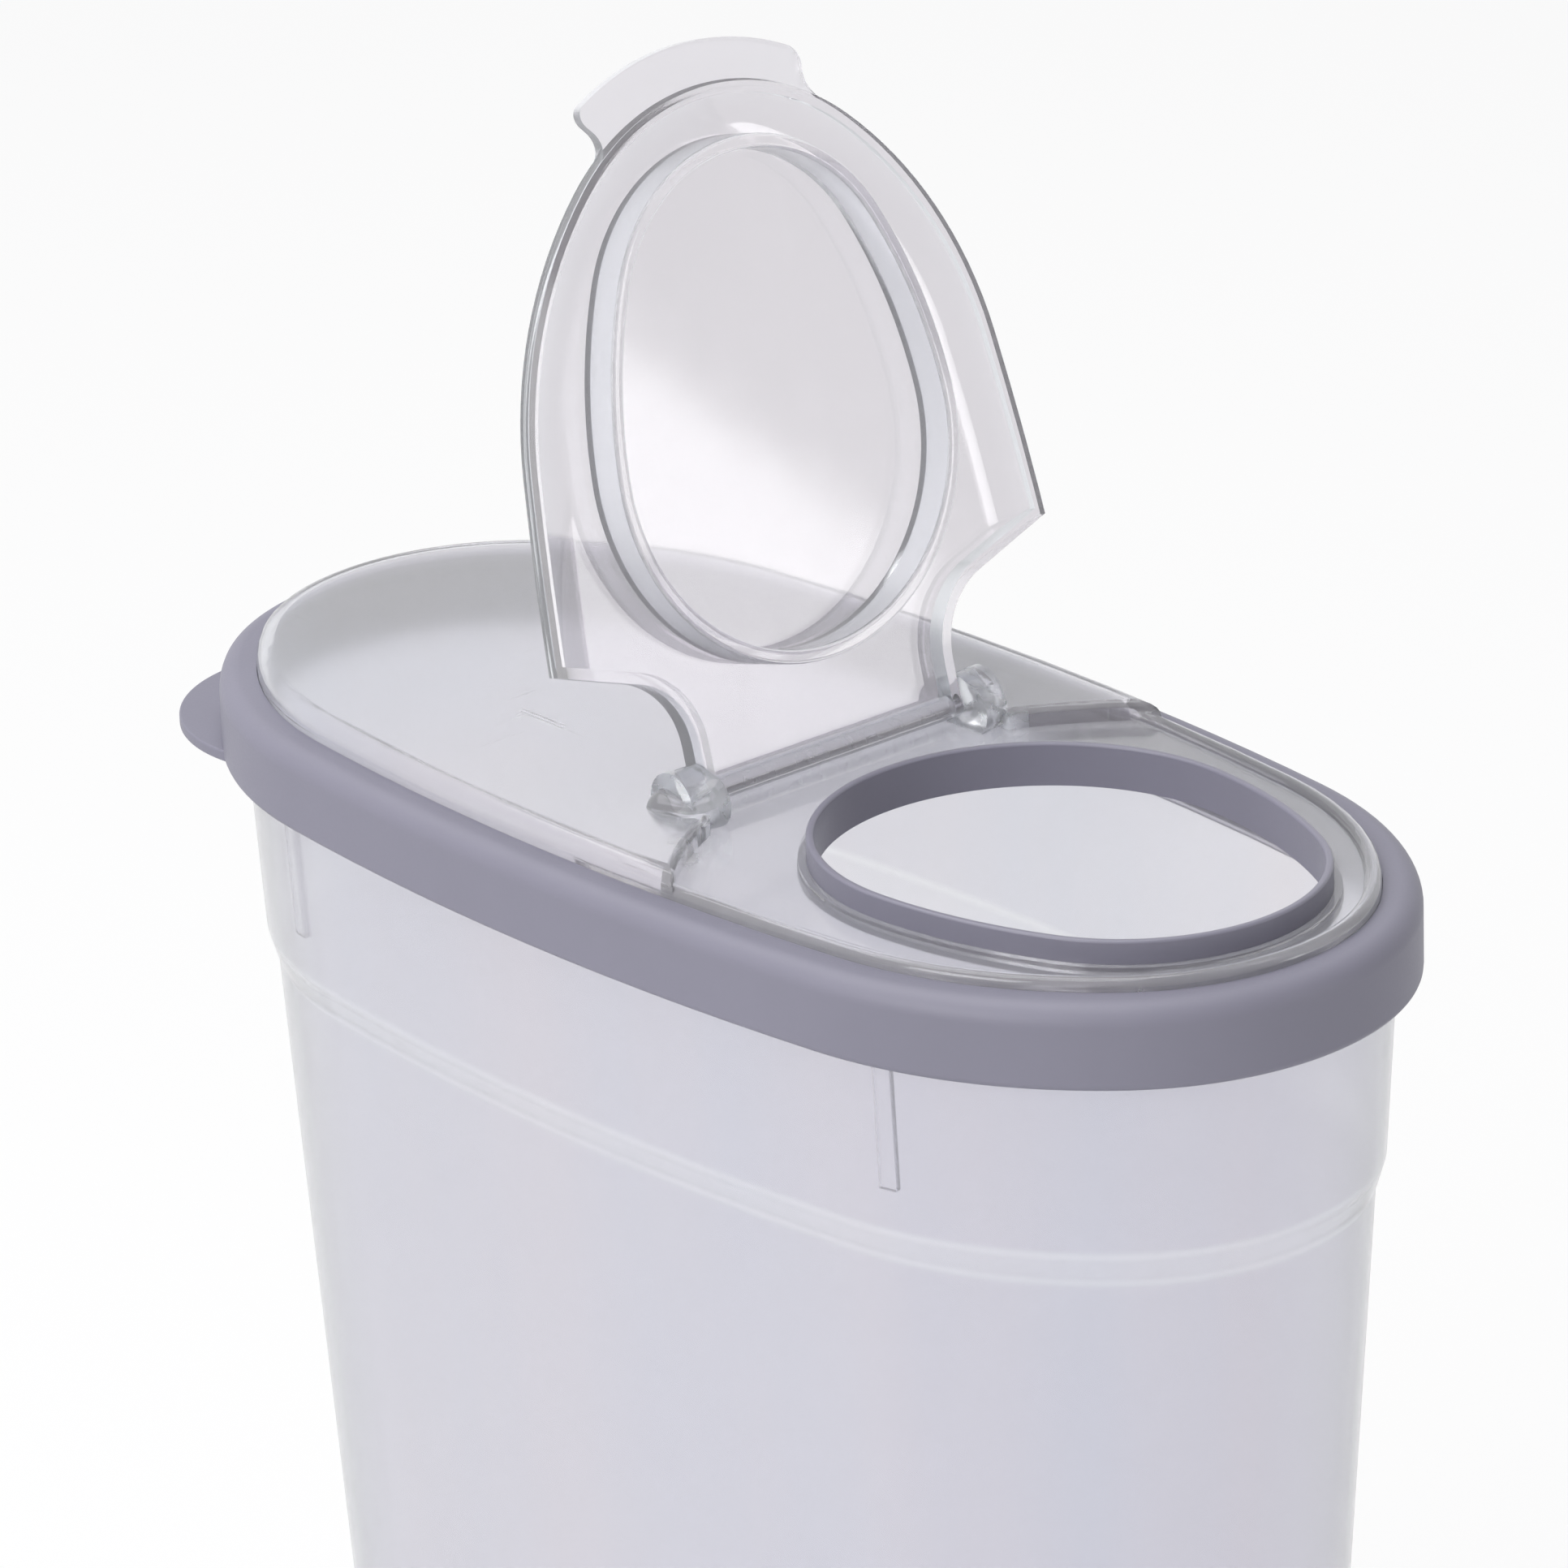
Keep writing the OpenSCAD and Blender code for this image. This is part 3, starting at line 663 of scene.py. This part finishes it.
def tub_profile(t):
    """Reach and height up the tub's outside, over its edge and down its inside."""
    wall, r = t.wall, t.foot_radius
    inner, low = r - wall, t.foot_reach - wall
    ease, lift = SOFT_EDGE, 0.0012
    lead, drop = 0.0003, 0.001
    outside = arc((t.foot_reach - r, r), r, -90, 0, 8) + [
        (t.body_reach, t.ledge), (t.body_reach + ease, t.ledge + lift),
        (t.band_reach - lead, t.band - drop), (t.band_reach, t.band)]
    edge = arc((t.edge_reach - ease, t.top - ease), ease, 0, 90, 4)
    lip = arc((t.edge_reach - wall + ease, t.top - ease), ease, 90, 180, 4)
    inside = [(t.band_reach - wall, t.band), (t.band_reach - lead - wall, t.band - drop),
              (t.body_reach + ease - wall, t.ledge + lift), (t.body_reach - wall, t.ledge)]
    return outside + edge + lip + inside + arc((low - inner, t.floor + inner), inner, 0, -90, 7)


def nesting_rib(t, sign_x, sign_y):
    """A thin upright rib on the inside of the band."""
    reach = t.edge_reach - t.wall / 2
    x, y = min((p for p in oval(reach) if p[0] > 0 and p[1] > 0), key=lambda p: abs(p[0] - t.rib_place))
    turn = math.atan2(y, x * RIB_FACING)
    deselect()
    bpy.ops.mesh.primitive_cube_add(size=1)
    rib = bpy.context.object
    lean = math.atan((t.edge_reach - t.band_reach) / (t.top - t.band))
    size = Matrix.Diagonal((*RIB_SIZE, 1))
    drop = Matrix.Translation((-RIB_SIZE[0] / 2, 0, -RIB_DROP))
    place = (Matrix.Translation((x * sign_x, y * sign_y, t.top))
             @ Matrix.Rotation(math.atan2(math.sin(turn) * sign_y, math.cos(turn) * sign_x), 4, "Z")
             @ Matrix.Rotation(lean, 4, "Y"))
    rib.data.transform(place @ drop @ size)
    return rib


class KEEPER_OT_tub(bpy.types.Operator):
    """Models the drafted tub"""
    bl_idname = "keeper.tub"
    bl_label = "Tub"

    def execute(self, context):
        sizes, tints = context.scene.keeper_tub, context.scene.keeper_colours
        piece = skin("tub_body", rings_of(oval, tub_profile(sizes)))
        for sign_x in (1, -1):
            for sign_y in (1, -1):
                combine(piece, nesting_rib(sizes, sign_x, sign_y), "UNION")
        # Painted highlights along the sloping ledge, at its foot and at the band's top edge
        ledge_highlights = ((sizes.ledge, sizes.band, 0.3), (sizes.ledge, sizes.ledge + 0.0008, 0.5),
                 (sizes.band - 0.0004, sizes.band + 0.0004, 0.6))
        material = clear_plastic("Tub plastic", (tints.clear, tints.cloud), gloss=0.13, clearness=0.88,
                                 wave=0.12, scuffs=0.25, ledge_highlights=ledge_highlights, flow=(2.2, 2.2, 0.22))
        finish_piece(piece, "tub", "tub", material)
        return {"FINISHED"}


class KEEPER_OT_lid(bpy.types.Operator):
    """Models the lid panel with its deck, plateau and sockets"""
    bl_idname = "keeper.lid"
    bl_label = "Lid panel"

    def execute(self, context):
        tints = context.scene.keeper_colours
        spots = (((0.090, -0.024, LID_HEIGHT), 0.004), ((0.0145, -0.034, LID_HEIGHT), 0.003))
        material = clear_plastic("Lid plastic", (darker(tints.clear, 0.89), darker(tints.cloud, 0.89)),
                                 gloss=0.09, clearness=0.85, wave=0.12, scuffs=0.8, spots=spots)
        piece = copy_of_node("lid_panel", "lid_deck")
        mark_walls(piece, reach=0.008, side=0.0285)
        finish_piece(piece, "lid_panel", "lid", material)
        return {"FINISHED"}


def rim_profile(r):
    """Reach and height round the rim's section, from the foot of its inside."""
    top, under, gap, soft = RIM_TOP, RIM_UNDER, SEAT_GAP, RIM_SOFT
    foot = LID_HEIGHT - r.height
    return ([(r.inner, foot)] + arc((r.outer - soft, foot + soft), soft, -80, 0, 5)
            + arc((r.outer - r.shoulder, top - r.shoulder), r.shoulder, 0, 90, 14)
            + [(gap, top), (gap, under)] + arc((r.inner - soft, under - soft), soft, 90, 0, 5))


def pull_tab(r):
    """The rounded finger tab that stands out from the rim's foot."""
    x, y, z = r.tab_place
    soft = 0.0003
    profile = (arc((-soft, z - r.tab_depth / 2 + soft), soft, -90, 0, 4)
               + arc((-soft, z + r.tab_depth / 2 - soft), soft, 0, 90, 4))

    def disc(grow):
        return arc((x, y), r.tab_radius + grow, 0, 360, 144)[:-1]

    return skin("pull_tab", rings_of(disc, profile))


class KEEPER_OT_rim(bpy.types.Operator):
    """Models the grey rim with its pull tab"""
    bl_idname = "keeper.rim"
    bl_label = "Grey rim"

    def execute(self, context):
        sizes, grey = context.scene.keeper_rim, context.scene.keeper_colours.grey
        piece = skin("rim_band", rings_of(oval, rim_profile(sizes)), closed=True)
        tab = pull_tab(sizes)
        reach = sizes.inner + TAB_ROOT
        combine(tab, skin("tab_cut", rings_of(oval, [(reach, LID_HEIGHT - 0.02), (reach, LID_HEIGHT)])),
                "DIFFERENCE")
        combine(piece, tab, "UNION")
        material = grey_plastic("Rim plastic", (grey, darker(grey, 0.94)), gloss=0.42, grain=0.35)
        finish_piece(piece, "lid_rim", "lid", material)
        return {"FINISHED"}


def collar_profile(c):
    """Reach and height round the collar's section, from the foot of its inside."""
    top, foot = LID_HEIGHT + c.rise, LID_HEIGHT - c.drop
    under, soft = UNDER_DECK, SOFT_EDGE
    return ([(-c.wall, foot), (c.flange, foot), (c.flange, under), (0, under)]
            + arc((-soft, top - soft), soft, 0, 90, 5)
            + arc((-c.wall + soft, top - soft), soft, 90, 180, 5))


class KEEPER_OT_collar(bpy.types.Operator):
    """Models the pouring collar"""
    bl_idname = "keeper.collar"
    bl_label = "Spout collar"

    def execute(self, context):
        sizes, grey = context.scene.keeper_collar, context.scene.keeper_colours.grey
        piece = skin("collar_ring", rings_of(egg, collar_profile(sizes)), closed=True)
        material = grey_plastic("Collar plastic", (grey, darker(grey, 0.94)), gloss=0.28, grain=0.15)
        finish_piece(piece, "spout_collar", "lid", material)
        return {"FINISHED"}


def cap_profile(c, depth):
    """Reach and height up the cap's outside, or up its inside at a depth under the outside."""
    radius = (c.slope ** 2 + c.drop ** 2) / (2 * c.drop)
    reach = -CAP_INSET - (c.rim_wall if depth else 0)
    centre = (-CAP_INSET - c.slope, LID_HEIGHT + c.top - radius)
    start = math.degrees(math.acos((reach - centre[0]) / (radius - depth)))
    foot = LID_HEIGHT + c.edge - (0.002 if depth else 0)
    return [(reach, foot)] + arc(centre, radius - depth, start, 90, 10)


def mirrored(half):
    return half + [(x, -y) for x, y in reversed(half) if abs(y) > 1e-9]


def cap_plan(c, inset):
    """The cap seen from above, with its tongue, necks and wings."""
    half = bpy.context.scene.keeper_oval.width / 2
    lean = math.degrees(c.wing_lean)
    width, radius = c.tongue - inset, c.neck + inset
    start = c.wing_x - (half - WING_INSET - width) * math.tan(c.wing_lean) + inset / math.cos(c.wing_lean)
    back = radius * math.tan(math.radians((90 - lean) / 2))
    far = 2 * half
    neck = arc((start - back, width + radius), radius, -90, -lean, 20)
    return mirrored([(c.hinge[0], width)] + neck
                    + [(start + (far - width) * math.tan(c.wing_lean), far), (4 * half, far)])


def prism(name, outline, low, high):
    return skin(name, [[(x, y, z) for x, y in outline] for z in (low, high)])


def cap_block(c, depth):
    block = skin("cap_block", rings_of(oval, cap_profile(c, depth)))
    plan = prism("cap_cut", cap_plan(c, c.rim_wall if depth else 0), LID_HEIGHT - 0.01, LID_HEIGHT + 0.02)
    combine(block, plan, "INTERSECT")
    return block


def thumb_outline(c, root):
    """The thumb tab seen from above, about the middle of the cap's end arc."""
    tip = root + CAP_INSET + c.thumb_length
    turn = math.asin(c.thumb_half / tip)
    soft, hollow = 0.002, 0.003
    along, aside = (math.cos(turn), math.sin(turn)), (-math.sin(turn), math.cos(turn))

    def spot(out, over):
        return along[0] * out + aside[0] * over, along[1] * out + aside[1] * over

    corner = spot(math.sqrt((tip - soft) ** 2 - soft ** 2), -soft)
    neck = spot(math.sqrt((root + hollow) ** 2 - hollow ** 2), hollow)
    at_neck = math.degrees(math.atan2(neck[1], neck[0]))
    at_corner = math.degrees(math.atan2(corner[1], corner[0]))
    turn = math.degrees(turn)
    inner = root - 0.001
    start = inner * math.cos(math.radians(at_neck)), inner * math.sin(math.radians(at_neck))
    return mirrored([(0.0, 0.0), start]
                    + arc(neck, hollow, at_neck - 180, turn - 90, 10)
                    + arc(corner, soft, turn + 90, at_corner, 10)
                    + arc((0, 0), tip, at_corner - 1, 0, 24))


def thumb_tab(c):
    """The thumb tab: a cone's band about the end arc's middle, cut to the tab's outline."""
    oval_sizes = bpy.context.scene.keeper_oval
    end = oval_sizes.end_radius
    middle = oval_sizes.length / 2 - end
    root = end - CAP_INSET
    low = LID_HEIGHT + c.top - c.drop - c.plate
    rise = low + c.thumb_length * math.tan(c.thumb_rise)
    margin, sink, dip = 0.001, 0.0006, 0.0004
    out, inner = end + c.thumb_length + margin, end - margin
    section = [(inner, low - sink), (root, low - dip), (out, rise), (out, rise + c.plate),
               (inner, low + c.plate - dip)]
    spread, steps = 40, 60
    rings = [[(middle + reach * math.cos(a), reach * math.sin(a), z) for reach, z in section]
             for a in (math.radians(-spread + 2 * spread * i / steps) for i in range(steps + 1))]
    tab = skin("thumb_tab", rings)
    outline = [(middle + x, y) for x, y in thumb_outline(c, root)]
    combine(tab, prism("thumb_cut", outline, LID_HEIGHT - 0.01, LID_HEIGHT + 0.03), "INTERSECT")
    merge_close(tab)
    return tab


def along_hinge(c, radius, half):
    """A round bar on the hinge axis, reaching the same way to both sides."""
    deselect()
    bpy.ops.mesh.primitive_cylinder_add(vertices=64, radius=radius, depth=2 * half, location=c.hinge,
                                        rotation=(math.pi / 2, 0, 0))
    bpy.ops.object.transform_apply(location=True, rotation=True, scale=True)
    return bpy.context.object


def sealing_ring():
    """The ring under the cap that plugs the collar."""
    wall, gap = RING_WALL, bpy.context.scene.keeper_collar.wall + RING_GAP
    top, soft, sink = RING_TOP, RING_SOFT, 0.0001
    foot = top - RING_DEPTH
    profile = ([(-gap, top + sink), (-gap - wall, top + sink)]
               + arc((-gap - wall + soft, foot + soft), soft, 180, 270, 4)
               + arc((-gap - soft, foot + soft), soft, 270, 360, 4))
    return skin("sealing_ring", rings_of(egg, profile), closed=True)


class KEEPER_OT_cap(bpy.types.Operator):
    """Models the flip cap closed, then opens it about its hinge"""
    bl_idname = "keeper.cap"
    bl_label = "Flip cap"

    def execute(self, context):
        sizes, tints = context.scene.keeper_cap, context.scene.keeper_colours
        piece = cap_block(sizes, 0)
        piece.name = piece.data.name = "cap_leaf"
        combine(piece, thumb_tab(sizes), "UNION")
        merge_close(piece)
        combine(piece, cap_block(sizes, sizes.plate), "DIFFERENCE")
        merge_close(piece)
        combine(piece, sealing_ring(), "UNION")
        merge_close(piece)
        combine(piece, along_hinge(sizes, BARREL_RADIUS, sizes.tongue), "UNION")
        combine(piece, along_hinge(sizes, PIN_RADIUS, sizes.tongue + PIN_REACH), "UNION")
        merge_close(piece)
        mark_walls(piece)
        hinge = Matrix.Translation(sizes.hinge)
        piece.data.transform(hinge @ Matrix.Rotation(-sizes.open_angle, 4, "Y") @ hinge.inverted())
        material = clear_plastic("Cap plastic", (darker(tints.clear, 0.93), darker(tints.clear, 0.9)),
                                 gloss=0.03, clearness=0.88, wave=0.05, scuffs=0.3)
        finish_piece(piece, "flip_cap", "cap", material)
        return {"FINISHED"}


# Stage

def area_light(name, place, target, size, power):
    data = bpy.data.lights.new(name, "AREA")
    data.shape = "RECTANGLE"
    data.size, data.size_y = size
    data.energy = power
    lamp = bpy.data.objects.new(name, data)
    lamp.location = place
    lamp.rotation_euler = (Vector(target) - Vector(place)).to_track_quat("-Z", "Y").to_euler()
    bpy.context.scene.collection.objects.link(lamp)
    return lamp


def seen_mask(tree):
    """One for camera, glossy and transmission rays."""
    path = tree.nodes.new("ShaderNodeLightPath")
    first = sum_of(tree, "MAXIMUM", path.outputs["Is Camera Ray"], path.outputs["Is Glossy Ray"])
    return sum_of(tree, "MAXIMUM", first, path.outputs["Is Transmission Ray"])


def floor_material():
    material = bpy.data.materials.new("Pale floor")
    material.use_nodes = True
    tree = material.node_tree
    shader = tree.nodes["Principled BSDF"]
    shader.inputs["Base Color"].default_value = (0.86, 0.86, 0.87, 1)
    shader.inputs["Roughness"].default_value = 0.9
    shader.inputs["Specular IOR Level"].default_value = 0.1
    glow = tree.nodes.new("ShaderNodeEmission")
    glow.inputs["Strength"].default_value = 1.0
    share = sum_of(tree, "MULTIPLY", seen_mask(tree), 0.8)
    mix = tree.nodes.new("ShaderNodeMixShader")
    tree.links.new(share, mix.inputs["Fac"])
    tree.links.new(shader.outputs[0], mix.inputs[1])
    tree.links.new(glow.outputs[0], mix.inputs[2])
    tree.links.new(mix.outputs[0], tree.nodes["Material Output"].inputs["Surface"])
    return material


def white_world():
    world = bpy.data.worlds.new("Studio")
    bpy.context.scene.world = world
    world.use_nodes = True
    tree = world.node_tree
    back = tree.nodes["Background"]
    back.inputs["Color"].default_value = (1, 1, 1, 1)
    place = tree.nodes.new("ShaderNodeTexCoord")
    side = tree.nodes.new("ShaderNodeVectorMath")
    side.operation = "DOT_PRODUCT"
    tree.links.new(place.outputs["Generated"], side.inputs[0])
    side.inputs[1].default_value = (-0.2, -0.93, 0.3)
    ambient = span(tree, side.outputs["Value"], -1.0, 1.0, 0.15, 0.8)
    seen = seen_mask(tree)
    unseen = sum_of(tree, "MULTIPLY", sum_of(tree, "SUBTRACT", 1.0, seen), ambient)
    tree.links.new(sum_of(tree, "ADD", seen, unseen), back.inputs["Strength"])


class KEEPER_OT_stage(bpy.types.Operator):
    """Sets up the floor, the lamps and the camera"""
    bl_idname = "keeper.stage"
    bl_label = "Stage"

    def execute(self, context):
        sizes = context.scene.keeper_stage
        deselect()
        bpy.ops.mesh.primitive_plane_add(size=sizes.floor_size)
        floor = context.object
        floor.name = "floor"
        floor.data.materials.append(floor_material())
        white_world()
        area_light("key", place=(0.2, -1.5, 0.9), target=(0, 0, 0.2), size=(0.9, 0.7), power=10.0)
        self.soft_box(place=(0.940, 0.733, 0.343), target=(-0.007, 0, 0.2656), edge=0.0085,
                      slant=math.radians(-56.2))
        area_light("top", place=(-0.3, -0.2, 1.4), target=(0, 0, 0.2), size=(1.2, 1.2), power=12.0)
        self.camera(sizes)
        view = context.scene.view_settings
        view.view_transform = "Standard"
        return {"FINISHED"}

    def soft_box(self, place, target, edge, slant):
        """A lamp whose slanted edge mirrors across the open cap."""
        facing = (Vector(place) - Vector(target)).normalized()
        level = Vector((0, 0, 1)).cross(facing).normalized()
        upright = facing.cross(level)
        along = level * math.cos(slant) + upright * math.sin(slant)
        lit = along.cross(facing)
        if lit.z > 0:
            lit = -lit
        size, shift = (0.30, 0.20), 0.02
        lamp = area_light("soft_box", place, target, size, power=0.8)
        centre = Vector(place) + lit * (edge + size[1] / 2) + along * shift
        turn = Matrix((along, facing.cross(along), facing)).transposed().to_4x4()
        lamp.matrix_world = Matrix.Translation(centre) @ turn

    def camera(self, sizes):
        az, el, roll = sizes.azimuth, sizes.elevation, sizes.roll
        back = Vector((math.sin(az) * math.cos(el), -math.cos(az) * math.cos(el), math.sin(el)))
        right = Vector((math.cos(az), math.sin(az), 0))
        up = back.cross(right)
        across = right * math.cos(roll) + up * math.sin(roll)
        upward = up * math.cos(roll) - right * math.sin(roll)
        data = bpy.data.cameras.new("camera")
        data.lens = sizes.lens
        data.sensor_width = 36
        data.clip_end = 100
        camera = bpy.data.objects.new("camera", data)
        turn = Matrix((across, upward, back)).transposed().to_4x4()
        camera.matrix_world = Matrix.Translation(sizes.stand) @ turn
        bpy.context.scene.collection.objects.link(camera)
        bpy.context.scene.camera = camera


class KEEPER_PT_panel(bpy.types.Panel):
    """Lists the keeper's pieces"""
    bl_idname = "KEEPER_PT_panel"
    bl_label = "Food keeper"
    bl_space_type = "VIEW_3D"
    bl_region_type = "UI"
    bl_category = "Keeper"

    def draw(self, context):
        for operator in OPERATORS:
            self.layout.operator(operator.bl_idname)


GROUPS = {"keeper_oval": OvalSizes, "keeper_tub": TubSizes, "keeper_rim": RimSizes,
          "keeper_collar": CollarSizes, "keeper_cap": CapSizes,
          "keeper_stage": StageSizes, "keeper_colours": PlasticColours}
OPERATORS = (KEEPER_OT_tub, KEEPER_OT_lid, KEEPER_OT_rim, KEEPER_OT_collar, KEEPER_OT_cap, KEEPER_OT_stage)


def register():
    for kind in (*GROUPS.values(), *OPERATORS, KEEPER_PT_panel):
        bpy.utils.register_class(kind)
    for name, kind in GROUPS.items():
        setattr(bpy.types.Scene, name, bpy.props.PointerProperty(type=kind))


def unregister():
    for name in GROUPS:
        delattr(bpy.types.Scene, name)
    for kind in reversed((*GROUPS.values(), *OPERATORS, KEEPER_PT_panel)):
        bpy.utils.unregister_class(kind)


def main():
    register()
    bpy.ops.keeper.tub()
    bpy.ops.keeper.lid()
    bpy.ops.keeper.rim()
    bpy.ops.keeper.collar()
    bpy.ops.keeper.cap()
    bpy.ops.keeper.stage()


if __name__ == "__main__":
    main()
